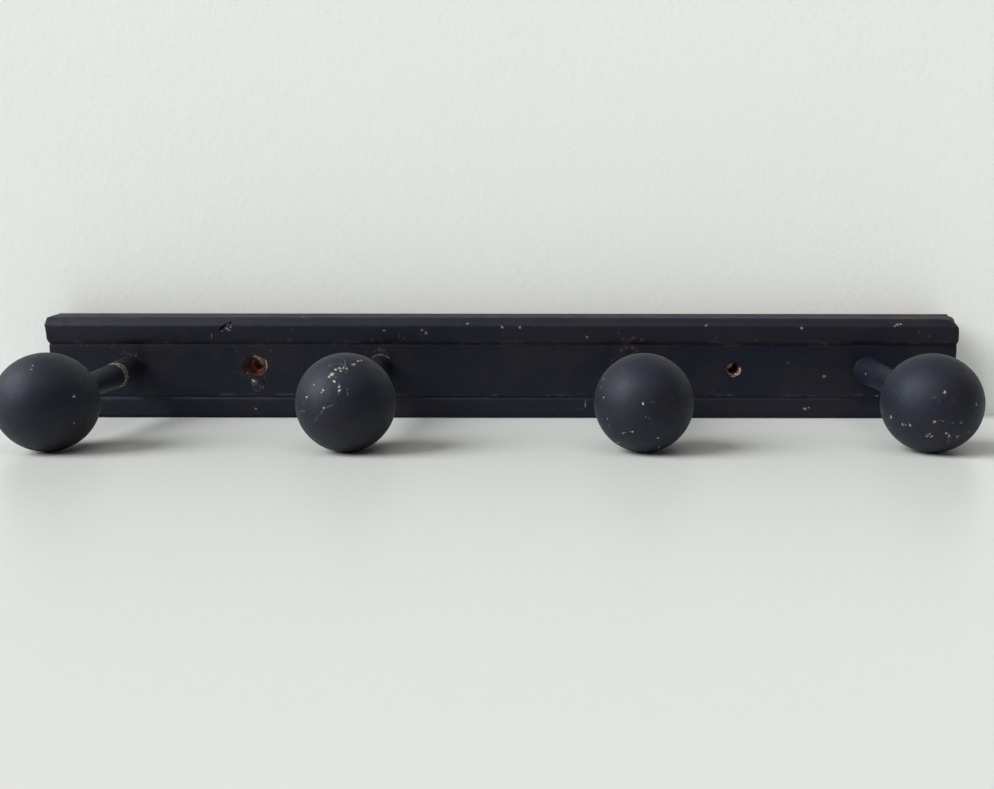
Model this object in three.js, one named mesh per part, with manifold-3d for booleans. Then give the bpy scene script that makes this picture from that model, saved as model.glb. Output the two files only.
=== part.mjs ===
// Wall coat rack: a moulded board that carries four turned ball pegs, each wedged from behind.
// Lengths are in millimetres. The back of the board lies in the plane y = 0, the pegs point towards -y,
// +x runs along the board and +z is up. The origin is on the back face, level with the row of pegs.
import * as THREE from "three";
import { mergeVertices } from "three/addons/utils/BufferGeometryUtils.js";
import Module from "manifold-3d";

const wasm = await Module();
wasm.setup();

// Board
const BOARD_LENGTH = 550;
const BOARD_THICKNESS = 22;
const END_ARRIS = 0.6;

// Section of the board, from the flat field between the mouldings outwards
const FIELD_HEIGHT = 30.8;
const FIELD_DROP = 0.5;
const FIELD_SETBACK = 2;
const GROOVE_DEPTH = 1.2;
const GROOVE_HEIGHT = 1.2;
const GROOVE_FLOOR_ROUND = 0.3;
const BEVEL_ARRIS = 0.5;
const OUTER_DEPTH = 17.8;
const UPPER_MOULDING = { setback: 0, fieldArris: 0.5, cove: 1.8, round: 2.2, front: 9.7, bevel: 4.4 };
const LOWER_MOULDING = { setback: 1.5, fieldArris: 1, cove: 0.9, round: 0.5, front: 5.8, bevel: 6.3 };

// Row of pegs
const PEG_COUNT = 4;
const FIRST_PEG_INSET = 49.5;
const LAST_PEG_INSET = 52;
const PEG_SHIFTS = [-1.1, 0.7, 2.1, -1.5];
const PEG_RISE_DEG = 2;

// One peg: a ball, a filleted neck, a shaft that swells towards the board, and a round tenon
const BALL_DIAMETER = 50.5;
const BALL_STAND_OFF = 109.4;
const NECK_DIAMETER = 12.8;
const NECK_FILLET = 5;
const WAIST_DIAMETER = 13.2;
const WAIST_STAND_OFF = 30;
const ROOT_DIAMETER = 17.4;
const TENON_DIAMETER = 15;

// Wedge in the sawn end of each tenon
const WEDGE_LENGTH = 12.5;
const WEDGE_HEAD_THICKNESS = 2.8;
const WEDGE_TIP_THICKNESS = 0.8;

// Holes for the two wall screws, each placed from the middle between its two pegs
const SCREW_HOLE_DIAMETER = 6.5;
const LEFT_HOLE = { shift: 1.2, height: 2.65, countersink: 11 };
const RIGHT_HOLE = { shift: -8.5, height: 1.15, countersink: 10 };

// Plug that fills an older hole below the left one
const PLUG_DIAMETER = 9;
const PLUG_LENGTH = 8;
const PLUG_CHAMFER = 0.5;
const PLUG_LAND = 1.2;

// Fits
const FIT_GAP = 0.3;
const CUT_OVERRUN = 2;
const TENON_RECESS = 0.3;

// Facets
const ROUND_SIDES = 32;
const SMALL_ROUND_SIDES = 24;
const BALL_STEPS = 20;
const FILLET_STEPS = 4;
const SHAFT_STEPS = 6;
const CORNER_STEPS = 3;
const WELD_DISTANCE = 1e-4;

// Sizes that follow from those above
const pegRise = THREE.MathUtils.degToRad(PEG_RISE_DEG);
const fieldDepth = BOARD_THICKNESS - FIELD_SETBACK;
const pegPitch = (BOARD_LENGTH - FIRST_PEG_INSET - LAST_PEG_INSET) / (PEG_COUNT - 1);
const seatGap = FIT_GAP + (ROOT_DIAMETER / 2) * Math.tan(pegRise);
const tenonEndSlope = (TENON_DIAMETER / 2) * Math.tan(pegRise);
const tenonLength = fieldDepth / Math.cos(pegRise) - TENON_RECESS - tenonEndSlope;

const paintedBoard = new THREE.MeshStandardMaterial({ color: 0x25272d, roughness: 0.5, metalness: 0 });
const paintedPeg = new THREE.MeshStandardMaterial({ color: 0x2d2f33, roughness: 0.58, metalness: 0 });
const bareWood = new THREE.MeshStandardMaterial({ color: 0xb98a5a, roughness: 0.75, metalness: 0 });

// A closed geometry as a solid that can be cut and joined.
function solidOf(geometry) {
  const bare = geometry.index ? geometry.toNonIndexed() : geometry.clone();
  bare.deleteAttribute("normal");
  bare.deleteAttribute("uv");
  const merged = mergeVertices(bare, WELD_DISTANCE);
  const corners = [];
  for (let i = 0; i < merged.index.count; i += 3) {
    const [a, b, c] = merged.index.array.slice(i, i + 3);
    if (a !== b && b !== c && c !== a) corners.push(a, b, c);
  }
  const vertProperties = new Float32Array(merged.getAttribute("position").array);
  const triVerts = new Uint32Array(corners);
  return new wasm.Manifold(new wasm.Mesh({ numProp: 3, vertProperties, triVerts }));
}

// A cut solid as a named mesh.
function meshOf(name, solid, material) {
  const { vertProperties, triVerts } = solid.getMesh();
  const geometry = new THREE.BufferGeometry();
  geometry.setAttribute("position", new THREE.BufferAttribute(vertProperties, 3));
  geometry.setIndex(new THREE.BufferAttribute(triVerts, 1));
  geometry.computeVertexNormals();
  const mesh = new THREE.Mesh(geometry, material);
  mesh.name = name;
  return mesh;
}

// A round bar along y between two heights, with its own radius at each end.
function bar(from, to, radiusFrom, radiusTo, sides) {
  const geometry = new THREE.CylinderGeometry(radiusTo, radiusFrom, to - from, sides);
  geometry.translate(0, (from + to) / 2, 0);
  return geometry;
}

// A closed outline through [x, y, round] corners, each eased by a curve that starts that far from it.
function easedOutline(corners) {
  const outline = new THREE.Shape();
  corners.forEach(([x, y, round], i) => {
    const here = new THREE.Vector2(x, y);
    const before = new THREE.Vector2(...corners.at(i - 1).slice(0, 2));
    const after = new THREE.Vector2(...corners[(i + 1) % corners.length].slice(0, 2));
    const start = here.clone().add(before.sub(here).setLength(round));
    const end = here.clone().add(after.sub(here).setLength(round));
    if (i === 0) outline.moveTo(start.x, start.y);
    else outline.lineTo(start.x, start.y);
    if (round > 0) outline.quadraticCurveTo(x, y, end.x, end.y);
  });
  outline.closePath();
  return outline;
}

// Corners of one moulding from the field's edge to the board's outer edge, as [depth, distance, round].
function mouldingCorners(fieldEdge, moulding) {
  const grooveFloor = fieldEdge + GROOVE_HEIGHT;
  const frontStart = grooveFloor + moulding.cove;
  const frontEnd = frontStart + moulding.front;
  const outerEdge = frontEnd + moulding.bevel;
  const frontDepth = BOARD_THICKNESS - moulding.setback;
  return [
    [fieldDepth, fieldEdge, moulding.fieldArris],
    [fieldDepth - GROOVE_DEPTH, grooveFloor, GROOVE_FLOOR_ROUND],
    [frontDepth, frontStart, moulding.round],
    [frontDepth, frontEnd, BEVEL_ARRIS],
    [OUTER_DEPTH, outerEdge, BEVEL_ARRIS],
    [0, outerEdge, 0],
  ];
}

function boardBlank() {
  const upper = mouldingCorners(FIELD_HEIGHT / 2 - FIELD_DROP, UPPER_MOULDING);
  const below = mouldingCorners(FIELD_HEIGHT / 2 + FIELD_DROP, LOWER_MOULDING);
  const lower = below.map(([depth, height, round]) => [depth, -height, round]);
  const section = easedOutline([...lower, ...upper.reverse()]);
  const geometry = new THREE.ExtrudeGeometry(section, {
    depth: BOARD_LENGTH - 2 * END_ARRIS,
    curveSegments: CORNER_STEPS,
    bevelThickness: END_ARRIS,
    bevelSize: END_ARRIS,
    bevelOffset: -END_ARRIS,
    bevelSegments: 1,
  });
  geometry.translate(0, 0, END_ARRIS - BOARD_LENGTH / 2);
  const depthToBack = new THREE.Matrix4().makeBasis(
    new THREE.Vector3(0, -1, 0),
    new THREE.Vector3(0, 0, 1),
    new THREE.Vector3(-1, 0, 0),
  );
  return solidOf(geometry.applyMatrix4(depthToBack));
}

// The pegs are set out by hand, so each stands a little to one side of the even spacing.
function pegPlace(index) {
  const x = FIRST_PEG_INSET - BOARD_LENGTH / 2 + index * pegPitch + PEG_SHIFTS[index];
  const place = new THREE.Group();
  place.position.set(x, -fieldDepth, 0);
  place.rotation.x = Math.PI - pegRise;
  place.updateMatrix();
  return place;
}

// Half of the peg's outline from the tenon's end to the tip of the ball, in a plane through the axis.
function pegOutline() {
  const ball = BALL_DIAMETER / 2;
  const neck = NECK_DIAMETER / 2;
  const filletAxis = neck + NECK_FILLET;
  const filletBack = Math.sqrt((ball + NECK_FILLET) ** 2 - filletAxis ** 2);
  const filletY = BALL_STAND_OFF - filletBack;
  const meeting = Math.atan2(filletBack, filletAxis);
  const points = [
    new THREE.Vector2(0, -tenonLength),
    new THREE.Vector2(TENON_DIAMETER / 2, -tenonLength),
    new THREE.Vector2(TENON_DIAMETER / 2, seatGap),
  ];
  const shaft = new THREE.QuadraticBezierCurve(
    new THREE.Vector2(ROOT_DIAMETER / 2, seatGap),
    new THREE.Vector2(WAIST_DIAMETER / 2, WAIST_STAND_OFF),
    new THREE.Vector2(neck, filletY),
  );
  points.push(...shaft.getPoints(SHAFT_STEPS));
  for (let i = 1; i <= FILLET_STEPS; i++) {
    const turn = Math.PI - (i / FILLET_STEPS) * meeting;
    const x = filletAxis + NECK_FILLET * Math.cos(turn);
    points.push(new THREE.Vector2(x, filletY + NECK_FILLET * Math.sin(turn)));
  }
  for (let i = 1; i < BALL_STEPS; i++) {
    const turn = -meeting + (i / BALL_STEPS) * (meeting + Math.PI / 2);
    points.push(new THREE.Vector2(ball * Math.cos(turn), BALL_STAND_OFF + ball * Math.sin(turn)));
  }
  points.push(new THREE.Vector2(0, BALL_STAND_OFF + ball));
  return points;
}

// The wedge's tapered section run straight across the tenon, grown by a gap for the saw cut that takes it.
function wedgePrism(gap, overrun) {
  const head = WEDGE_HEAD_THICKNESS / 2 + gap;
  const tip = WEDGE_TIP_THICKNESS / 2 + gap;
  const slope = (head - tip) / WEDGE_LENGTH;
  const back = -tenonLength - overrun;
  const front = -tenonLength + WEDGE_LENGTH + gap;
  const backHalf = head + slope * overrun;
  const frontHalf = tip - slope * gap;
  const section = new THREE.Shape([
    new THREE.Vector2(-backHalf, back),
    new THREE.Vector2(backHalf, back),
    new THREE.Vector2(frontHalf, front),
    new THREE.Vector2(-frontHalf, front),
  ]);
  const width = TENON_DIAMETER + 2 * CUT_OVERRUN;
  const geometry = new THREE.ExtrudeGeometry(section, { depth: width, bevelEnabled: false });
  geometry.translate(0, 0, -width / 2);
  return solidOf(geometry);
}

function pegSolid() {
  const turned = solidOf(new THREE.LatheGeometry(pegOutline(), ROUND_SIDES));
  return turned.subtract(wedgePrism(FIT_GAP, CUT_OVERRUN));
}

function wedgeSolid() {
  const tenon = solidOf(bar(-tenonLength, 0, TENON_DIAMETER / 2, TENON_DIAMETER / 2, ROUND_SIDES));
  return wedgePrism(0, 0).intersect(tenon);
}

function tenonBore(place) {
  const radius = TENON_DIAMETER / 2 + FIT_GAP;
  const geometry = bar(-fieldDepth - CUT_OVERRUN, CUT_OVERRUN, radius, radius, ROUND_SIDES);
  return solidOf(geometry.applyMatrix4(place.matrix));
}

// A tool whose own y axis runs into the board from the field, at a point of the field.
function fromField(geometry, x, height) {
  geometry.translate(x, -fieldDepth, height);
  return solidOf(geometry);
}

function screwHoleX(firstPeg, hole) {
  return FIRST_PEG_INSET - BOARD_LENGTH / 2 + (firstPeg + 0.5) * pegPitch + hole.shift;
}

function screwHole(x, hole) {
  const radius = SCREW_HOLE_DIAMETER / 2;
  const rim = hole.countersink / 2;
  const shank = bar(-CUT_OVERRUN, fieldDepth + CUT_OVERRUN, radius, radius, SMALL_ROUND_SIDES);
  const sink = bar(-CUT_OVERRUN, rim - radius, rim + CUT_OVERRUN, radius, SMALL_ROUND_SIDES);
  return fromField(shank, x, hole.height).add(fromField(sink, x, hole.height));
}

const leftHoleX = screwHoleX(0, LEFT_HOLE);
const rightHoleX = screwHoleX(PEG_COUNT - 2, RIGHT_HOLE);
const plugPocketRadius = PLUG_DIAMETER / 2 + FIT_GAP;
const plugHeight = LEFT_HOLE.height - LEFT_HOLE.countersink / 2 - PLUG_LAND - plugPocketRadius;

function plugPocket() {
  const radius = plugPocketRadius;
  const geometry = bar(-CUT_OVERRUN, PLUG_LENGTH + FIT_GAP, radius, radius, SMALL_ROUND_SIDES);
  return fromField(geometry, leftHoleX, plugHeight);
}

function plugGeometry() {
  const radius = PLUG_DIAMETER / 2;
  const outline = [
    new THREE.Vector2(0, 0),
    new THREE.Vector2(radius - PLUG_CHAMFER, 0),
    new THREE.Vector2(radius, PLUG_CHAMFER),
    new THREE.Vector2(radius, PLUG_LENGTH),
    new THREE.Vector2(0, PLUG_LENGTH),
  ];
  const geometry = new THREE.LatheGeometry(outline, SMALL_ROUND_SIDES);
  geometry.translate(leftHoleX, -fieldDepth, plugHeight);
  return geometry;
}

function backboard(places) {
  let board = boardBlank();
  for (const place of places) board = board.subtract(tenonBore(place));
  board = board.subtract(screwHole(leftHoleX, LEFT_HOLE));
  board = board.subtract(screwHole(rightHoleX, RIGHT_HOLE));
  board = board.subtract(plugPocket());
  return meshOf("backboard", board, paintedBoard);
}

const rack = new THREE.Group();
const places = Array.from({ length: PEG_COUNT }, (_, index) => pegPlace(index));
rack.add(backboard(places));
places.forEach((place, index) => {
  place.add(meshOf("ball_peg_" + (index + 1), pegSolid(), paintedPeg));
  place.add(meshOf("peg_wedge_" + (index + 1), wedgeSolid(), bareWood));
  rack.add(place);
});
rack.add(meshOf("filler_plug", solidOf(plugGeometry()), paintedBoard));

export default rack;
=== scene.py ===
"""Wall coat rack: a moulded board and four turned ball pegs in worn matt black paint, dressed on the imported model.

Sizes are in metres where they belong to a piece and in millimetres where they belong to a paint pattern.
The back of the board is the plane y = 0, the pegs point towards -y and the row of pegs is at z = 0.
"""

import math
from functools import reduce
from typing import NamedTuple

import bmesh
import bpy
from bpy.props import FloatProperty, FloatVectorProperty, IntProperty, PointerProperty
from mathutils import Matrix, Vector, noise


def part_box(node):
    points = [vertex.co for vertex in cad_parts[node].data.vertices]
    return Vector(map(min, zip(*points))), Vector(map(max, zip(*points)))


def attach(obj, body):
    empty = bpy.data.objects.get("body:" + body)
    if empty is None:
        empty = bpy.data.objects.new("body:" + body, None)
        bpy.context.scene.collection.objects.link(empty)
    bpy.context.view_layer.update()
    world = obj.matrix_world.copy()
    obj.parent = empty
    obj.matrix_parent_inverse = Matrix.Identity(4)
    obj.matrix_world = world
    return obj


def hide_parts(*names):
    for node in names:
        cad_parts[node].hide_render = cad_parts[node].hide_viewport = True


bl_info = {
    "name": "Ball Peg Coat Rack",
    "version": (1, 0, 0),
    "blender": (4, 5, 0),
    "location": "View3D > Sidebar > Coat Rack",
    "description": "Makes the painted board, turned pegs, wedges, plug and stage of a wall coat rack",
    "category": "Object",
}

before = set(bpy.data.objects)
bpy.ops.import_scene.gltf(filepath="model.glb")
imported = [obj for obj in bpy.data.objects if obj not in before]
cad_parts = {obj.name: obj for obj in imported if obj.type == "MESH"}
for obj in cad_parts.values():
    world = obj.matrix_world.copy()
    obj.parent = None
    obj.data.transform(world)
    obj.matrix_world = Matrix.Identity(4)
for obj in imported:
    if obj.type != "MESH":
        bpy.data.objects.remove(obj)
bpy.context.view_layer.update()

MM = 0.001
PEG_NODES = ("ball_peg_1", "ball_peg_2", "ball_peg_3", "ball_peg_4")
WEDGE_NODES = ("peg_wedge_1", "peg_wedge_2", "peg_wedge_3", "peg_wedge_4")


def node_box(node):
    """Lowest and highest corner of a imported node, as vectors."""
    low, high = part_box(node)
    return Vector(low), Vector(high)


BOARD_LOW, BOARD_HIGH = node_box("backboard")
PLUG_LOW, PLUG_HIGH = node_box("filler_plug")
PEG_XS = [sum(c.x for c in node_box(node)) / 2 for node in PEG_NODES]


def srgb(red, green, blue):
    """A paint colour given as it looks on screen, from 0 to 255, as linear values."""
    return tuple(((c / 255 + 0.055) / 1.055) ** 2.4 if c > 10 else c / 255 / 12.92 for c in (red, green, blue))


class Wear(NamedTuple):
    """Marks of wear in millimetres, and how strongly the flecks (pale) and the scuffs (rub) show.

    A fleck or a scuff is (x, y, z, radius) and a scratch is (half its width, point, point, ...).
    """

    flecks: tuple
    scuffs: tuple
    scratches: tuple = ()
    pale: float = 0.78
    rub: float = 0.16


BOARD_WEAR = Wear(
    pale=0.45,
    rub=0.27,
    flecks=(
        (0, -22, 26.6, 0.84), (10.7, -22, 26.6, 0.84), (-48.3, -22, 24.9, 0.69), (-45.7, -22, 23, 0.81),
        (-71.1, -22, 24.8, 0.63), (50.7, -22, 21, 0.81), (180, -22, 26.4, 0.84), (161.9, -22, 17.1, 0.72),
        (-168.4, -22, 24.4, 0.54), (-165.6, -22, 25.8, 0.84), (-164.1, -22, 25, 0.66),
        (-163.1, -22, 26.7, 0.6), (-20.9, -20.9, 28.8, 0.84), (122.6, -21.4, 28.2, 0.78),
        (235.5, -21.8, 27.8, 0.78), (237.5, -21.1, 28.5, 1), (239.4, -20.7, 28.9, 0.78),
        (-121.1, -15.4, 32, 0.79), (-118.4, -16.8, 32, 0.55), (237.8, -15.8, 32, 0.73),
        (-151.1, -20.5, -24.1, 0.84), (184.6, -20.5, -23.8, 0.9), (186.2, -20.5, -24.4, 0.6),
        (187, -20.5, -23, 0.6), (228.5, -20, -15.8, 0.73), (195.5, -20, -3.1, 0.79),
    ),
    scuffs=(
        (-161, -20, 11.4, 0.91), (-163, -20, -1.4, 0.91), (-140.3, -20, 12.1, 0.91),
        (-145.4, -20, -10.1, 0.76), (-250.9, -20, 14.5, 0.91), (-236.6, -20, 14.5, 0.76),
        (195.5, -20, -3.9, 1.5), (128.1, -20, -12.8, 0.97), (173.4, -20, 5, 0.91), (-230.4, -20, 9.9, 0.91),
        (-228.8, -20, 11.1, 0.91), (-226.3, -20, 10.1, 1.1), (-224.4, -20, 9.2, 1.1),
        (-222.3, -20, 8.7, 1.1), (-220.1, -20, 6.7, 0.91), (-219.3, -20, 4.9, 0.91),
        (-222.1, -20, 10.8, 0.91), (-76.8, -20, 11.8, 1.2), (-74.4, -20, 12.3, 1.4), (-72, -20, 11.8, 1.4),
        (-70.2, -20, 10.6, 1.1), (65.1, -20, 4.8, 0.76), (66.3, -20, 6.2, 0.76), (67.8, -20, 7.2, 0.67),
        (69.6, -20, 8.9, 0.79), (71.4, -20, 9.7, 0.91), (73.7, -20, 9.5, 1.2), (76.3, -20, 9.7, 0.97),
        (78.7, -20, 10.2, 0.79), (72, -20, 12.9, 1.4), (75, -20, 14.1, 1.4), (78.6, -20, 14.1, 1.4),
        (81.1, -20, 12.6, 1.2), (214, -20, 0.5, 0.91), (215.4, -20, 2, 0.97), (217.3, -20, 4, 1.1),
        (218.8, -20, 5.2, 0.97), (216.6, -20, 1.4, 0.79), (222.3, -20, 7.9, 0.91), (-126.6, -22, 25.2, 0.69),
        (19.3, -22, 26.8, 0.69), (-128.1, -22, 18.6, 1.4), (69.9, -22, 23.2, 0.78), (78.9, -22, 19.8, 1.7),
        (76, -22, 18.4, 1.8), (72.3, -22, 19.3, 1.4), (83.8, -22, 18.7, 1.4), (127.7, -22, 19.5, 0.96),
        (136.1, -22, 17.7, 1), (152.6, -22, 18.3, 0.96), (149.4, -22, 19.1, 0.84), (154.3, -22, 17.6, 0.84),
        (202, -22, 17.8, 0.78), (256.5, -22, 21.5, 0.96), (250.7, -22, 24.4, 0.9), (-61.2, -22, 17.1, 1),
        (7.9, -22, 18.1, 1.2), (-28, -22, 18, 1), (-78.1, -22, 18, 1.4), (-73.3, -22, 17.4, 1.5),
        (-80.6, -22, 16.1, 1.2), (-94.4, -22, 16.7, 1),
    ),
    scratches=(
        (0.39, (-174.9, -22, 22.4), (-174.8, -22, 19.7), (-174.8, -22, 17)),
        (0.36, (-38.7, -22, 17.8), (-40.9, -22, 16.2), (-42.8, -22, 14.8)),
        (0.33, (-62, -22, 23.2), (-61.5, -22, 17.4)),
        (0.33, (-58.8, -22, 20.1), (-61.3, -22, 17.7), (-63.6, -22, 15.2)),
        (0.55, (-79.1, -20, 7.8), (-76.6, -20, 9.2), (-73.6, -20, 9.7), (-70.9, -20, 9), (-69, -20, 7.5)),
        (0.45, (49, -20.5, -16.3), (50.2, -20.5, -18.6), (50.5, -20.5, -22.8)),
    ),
)
PEG_WEAR = (
    Wear(
        flecks=(
            (-227.8, -135, 28.4, 0.51), (-225.7, -145.1, 23.5, 0.58), (-225.9, -142.9, 25.1, 0.4),
            (-206.4, -143.3, 9.8, 0.63), (-207.4, -143.9, -3.6, 0.51),
        ),
        scuffs=(
            (-206.1, -135.2, 17.3, 0.88),
        ),
    ),
    Wear(
        flecks=(
            (-76.6, -144.9, 23.6, 0.76), (-75, -144.4, 24.1, 0.86), (-73.2, -143.6, 24.6, 0.76),
            (-71.7, -144, 24, 0.66), (-74.1, -145.5, 23.1, 0.61), (-78.5, -146.9, 21.7, 1.1),
            (-79.5, -147.7, 20.7, 0.61), (-76.9, -149.7, 18.7, 0.68), (-74.1, -151.9, 15, 0.81),
            (-74.3, -151.2, 16.3, 0.51), (-68.6, -140.5, 25.5, 1), (-67.2, -136.6, 26.6, 0.76),
            (-66, -134.9, 26.6, 0.58), (-87.2, -147.6, 16.6, 0.56), (-82.2, -151, 14.8, 0.66),
            (-82.8, -151.3, 13.6, 0.48), (-90.8, -148, 10.7, 0.63), (-81.5, -153.7, 6.3, 0.61),
        ),
        scuffs=(
            (-57.1, -144.5, 12.6, 0.86), (-62.2, -150.9, 3.9, 0.76), (-69.6, -144.7, 23, 0.76),
            (-79.1, -141.8, 25.4, 1.3), (-76.3, -140.9, 26.3, 1.5), (-74.1, -142.2, 25.5, 1.3),
            (-77.1, -148.1, 20.6, 1.3), (-75.8, -146.9, 21.9, 1.3), (-71.7, -145.5, 22.9, 1),
        ),
        scratches=(
            (0.28, (-87.2, -134.6, 25.4), (-85, -134.3, 26.6), (-82.4, -134.6, 27.5), (-79.3, -135.2, 28.1),
             (-76.3, -135.5, 28.3), (-74.1, -137.5, 27.7), (-72.9, -140, 26.6), (-72.6, -142.4, 25.2)),
            (0.28, (-82.1, -143.3, 23.7), (-80.2, -141.8, 25.2)),
            (0.28, (-74.2, -150.3, 17.9), (-74.4, -153.1, 12.3)),
            (0.23, (-70.5, -151, 15.8), (-69.8, -152.5, 12.1)),
            (0.3, (-77.4, -154.2, 7.8), (-81.2, -153.8, 6.2)),
            (0.25, (-82, -153.6, 5.2), (-86.9, -151.2, -1.1)),
            (0.25, (-91.2, -148.1, 9.4), (-92.8, -147.4, 6.5)),
            (0.25, (-95.4, -144.6, 2.7), (-92.3, -148, 3.4)),
        ),
    ),
    Wear(
        flecks=(
            (54.8, -134.3, 17.3, 0.61), (53.4, -136.9, 13.2, 0.63), (54.3, -141.8, 9.1, 0.53),
            (72.8, -154, 8.6, 0.63), (56.2, -144.7, -1.2, 0.45), (57.3, -144.8, -4.1, 0.45),
            (62, -140.6, -14.2, 0.63), (82.2, -143.5, -16, 0.83), (80.9, -150.2, -9.4, 0.45),
            (68.2, -151.5, -5.8, 0.66), (63.8, -148.7, -7.2, 0.51), (76.4, -140, -19, 0.56),
            (78.8, -136.1, -20.3, 0.45), (81.8, -136.3, -19.7, 0.51),
        ),
        scuffs=(
            (77.4, -153.9, 9.4, 1), (86.7, -144.7, -12.9, 0.86), (59, -148.2, 1.1, 1),
        ),
        scratches=(
            (0.28, (63, -147.9, -7.7), (64.9, -149.7, -6.5), (68.4, -151.6, -5.6)),
            (0.25, (74.1, -154.5, 2.5), (77, -154.4, 0.9)),
        ),
    ),
    Wear(
        flecks=(
            (218.8, -152.2, 14.2, 0.66), (235.7, -149.9, 7.3, 0.61), (198.4, -138.1, -1.2, 0.76),
            (198.3, -136.9, -2.5, 0.45), (202.4, -144, -3.8, 0.71), (203.5, -145.4, -3.7, 0.4),
            (205, -147, -3.5, 0.61), (214.4, -153.2, -0.4, 0.56), (227.8, -153.4, -0.5, 0.61),
            (212.8, -149.7, -8.4, 0.56), (213.8, -150.7, -7.2, 0.51), (214.8, -150.4, -8.4, 0.51),
            (220.9, -152.5, -6.3, 0.51), (222.8, -151.8, -7.7, 0.66), (223.8, -151.1, -8.7, 0.51),
            (227.3, -150.6, -8.5, 0.73), (196.6, -129.3, -0.5, 0.51), (214.4, -41.3, 1.9, 0.74),
        ),
        scuffs=(
            (223, -153.6, 10.6, 1.3), (221.8, -154.2, 8, 1.1), (223.8, -154, 8.9, 1),
            (213.9, -152.2, 11.5, 1), (215.8, -153, 10.4, 0.91), (213.2, -150.4, -7.4, 1.3),
            (221.8, -152.2, -7, 1.3),
        ),
        scratches=(
            (0.23, (214.4, -153.2, -0.3), (217.2, -154, 0.6), (220.6, -154.2, -0.5), (223.6, -154.1, -0.9),
             (227.6, -153.5, -0.3)),
            (0.25, (231.2, -150.4, -6.2), (234.7, -148.3, -6.4)),
            (0.23, (223, -150.9, -9.3), (223.9, -148.5, -12.4)),
        ),
    ),
)


def length_prop(name, description, default):
    return FloatProperty(name=name, description=description, default=default, unit="LENGTH")


def angle_prop(name, description, default):
    return FloatProperty(name=name, description=description, default=default, unit="ROTATION")


def colour_prop(name, description, default):
    return FloatVectorProperty(name=name, description=description, subtype="COLOR", default=default, min=0, max=1)


def share_prop(name, description, default):
    return FloatProperty(name=name, description=description, subtype="FACTOR", default=default, min=0, max=1)


class UpperMoulding(bpy.types.PropertyGroup):
    """Section of the moulding above the field."""

    setback: length_prop("Setback", "How far its front lies back", 0.0)
    field_arris: length_prop("Field arris", "Easing of the field's edge", 0.0005)
    cove: length_prop("Cove", "Height of the slope out of the groove", 0.0018)
    easing: length_prop("Easing", "Rounding of the edge by the groove", 0.0022)
    front: length_prop("Front", "Height of the front", 0.0097)
    bevel: length_prop("Bevel", "Height of the bevel", 0.0044)


class LowerMoulding(bpy.types.PropertyGroup):
    """Section of the moulding below the field."""

    setback: length_prop("Setback", "How far its front lies back", 0.0015)
    field_arris: length_prop("Field arris", "Easing of the field's edge", 0.001)
    cove: length_prop("Cove", "Height of the slope out of the groove", 0.0009)
    easing: length_prop("Easing", "Rounding of the edge by the groove", 0.0005)
    front: length_prop("Front", "Height of the front", 0.0058)
    bevel: length_prop("Bevel", "Height of the bevel", 0.0063)


class BoardSettings(bpy.types.PropertyGroup):
    """Sizes of the moulded board."""

    field_height: length_prop("Field height", "Height of the flat field", 0.0308)
    field_drop: length_prop("Field drop", "How far the field's middle lies below the pegs", 0.0005)
    field_setback: length_prop("Field setback", "How far the field lies behind the upper moulding", 0.002)
    groove_depth: length_prop("Groove depth", "Depth of the groove beside the field", 0.0008)
    groove_height: length_prop("Groove height", "Height of the groove's sloping side", 0.0012)
    groove_round: length_prop("Groove round", "Rounding of its floor", 0.0005)
    bevel_arris: length_prop("Bevel arris", "Easing of the bevels' edges", 0.0008)
    outer_depth: length_prop("Outer depth", "Depth of the board at its long edges", 0.0178)
    upper: PointerProperty(type=UpperMoulding)
    lower: PointerProperty(type=LowerMoulding)
    end_arris: length_prop("End arris", "Easing of the sawn ends", 0.0006)
    unevenness: length_prop("Unevenness", "How deep the planed faces are out of true", 0.0003)


class PegSettings(bpy.types.PropertyGroup):
    """Sizes of one turned peg."""

    rise: angle_prop("Rise", "Upward tilt of the pegs", math.radians(2))
    ball_diameter: length_prop("Ball diameter", "Diameter of the ball", 0.0505)
    stand_off: length_prop("Stand-off", "Distance from the field to the ball's centre", 0.1094)
    neck_diameter: length_prop("Neck diameter", "Thinnest part behind the ball", 0.0128)
    neck_fillet: length_prop("Neck fillet", "Radius of the hollow behind the ball", 0.005)
    waist_diameter: length_prop("Waist diameter", "Diameter that the shaft is drawn in to", 0.0132)
    waist_stand_off: length_prop("Waist stand-off", "Distance from the field to the waist", 0.03)
    root_diameter: length_prop("Root diameter", "Diameter where the shaft meets the board", 0.0174)
    tenon_diameter: length_prop("Tenon diameter", "Diameter of the tenon", 0.015)
    gap: length_prop("Fit gap", "Gap round tenons and wedges", 0.0003)
    wedge_length: length_prop("Wedge length", "Length of the wedge", 0.0125)
    wedge_head: length_prop("Wedge head", "Thickness of the wedge's head", 0.0028)
    wedge_tip: length_prop("Wedge tip", "Thickness of the wedge's tip", 0.0008)
    sides: IntProperty(name="Sides", description="Facets round the turning", default=80, min=24)


class HoleSettings(bpy.types.PropertyGroup):
    """Holes of the two wall screws."""

    shank: length_prop("Shank hole", "Diameter of the screw holes", 0.0065)
    left_place: FloatVectorProperty(
        name="Left hole", description="Place of the left hole on the field", size=2,
        default=(-0.14955, 0.00265), unit="LENGTH",
    )
    left_sink: length_prop("Left countersink", "Diameter of the left countersink", 0.011)
    right_place: FloatVectorProperty(
        name="Right hole", description="Place of the right hole on the field", size=2,
        default=(0.13975, 0.00115), unit="LENGTH",
    )
    right_sink: length_prop("Right countersink", "Diameter of the right countersink", 0.01)


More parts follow.
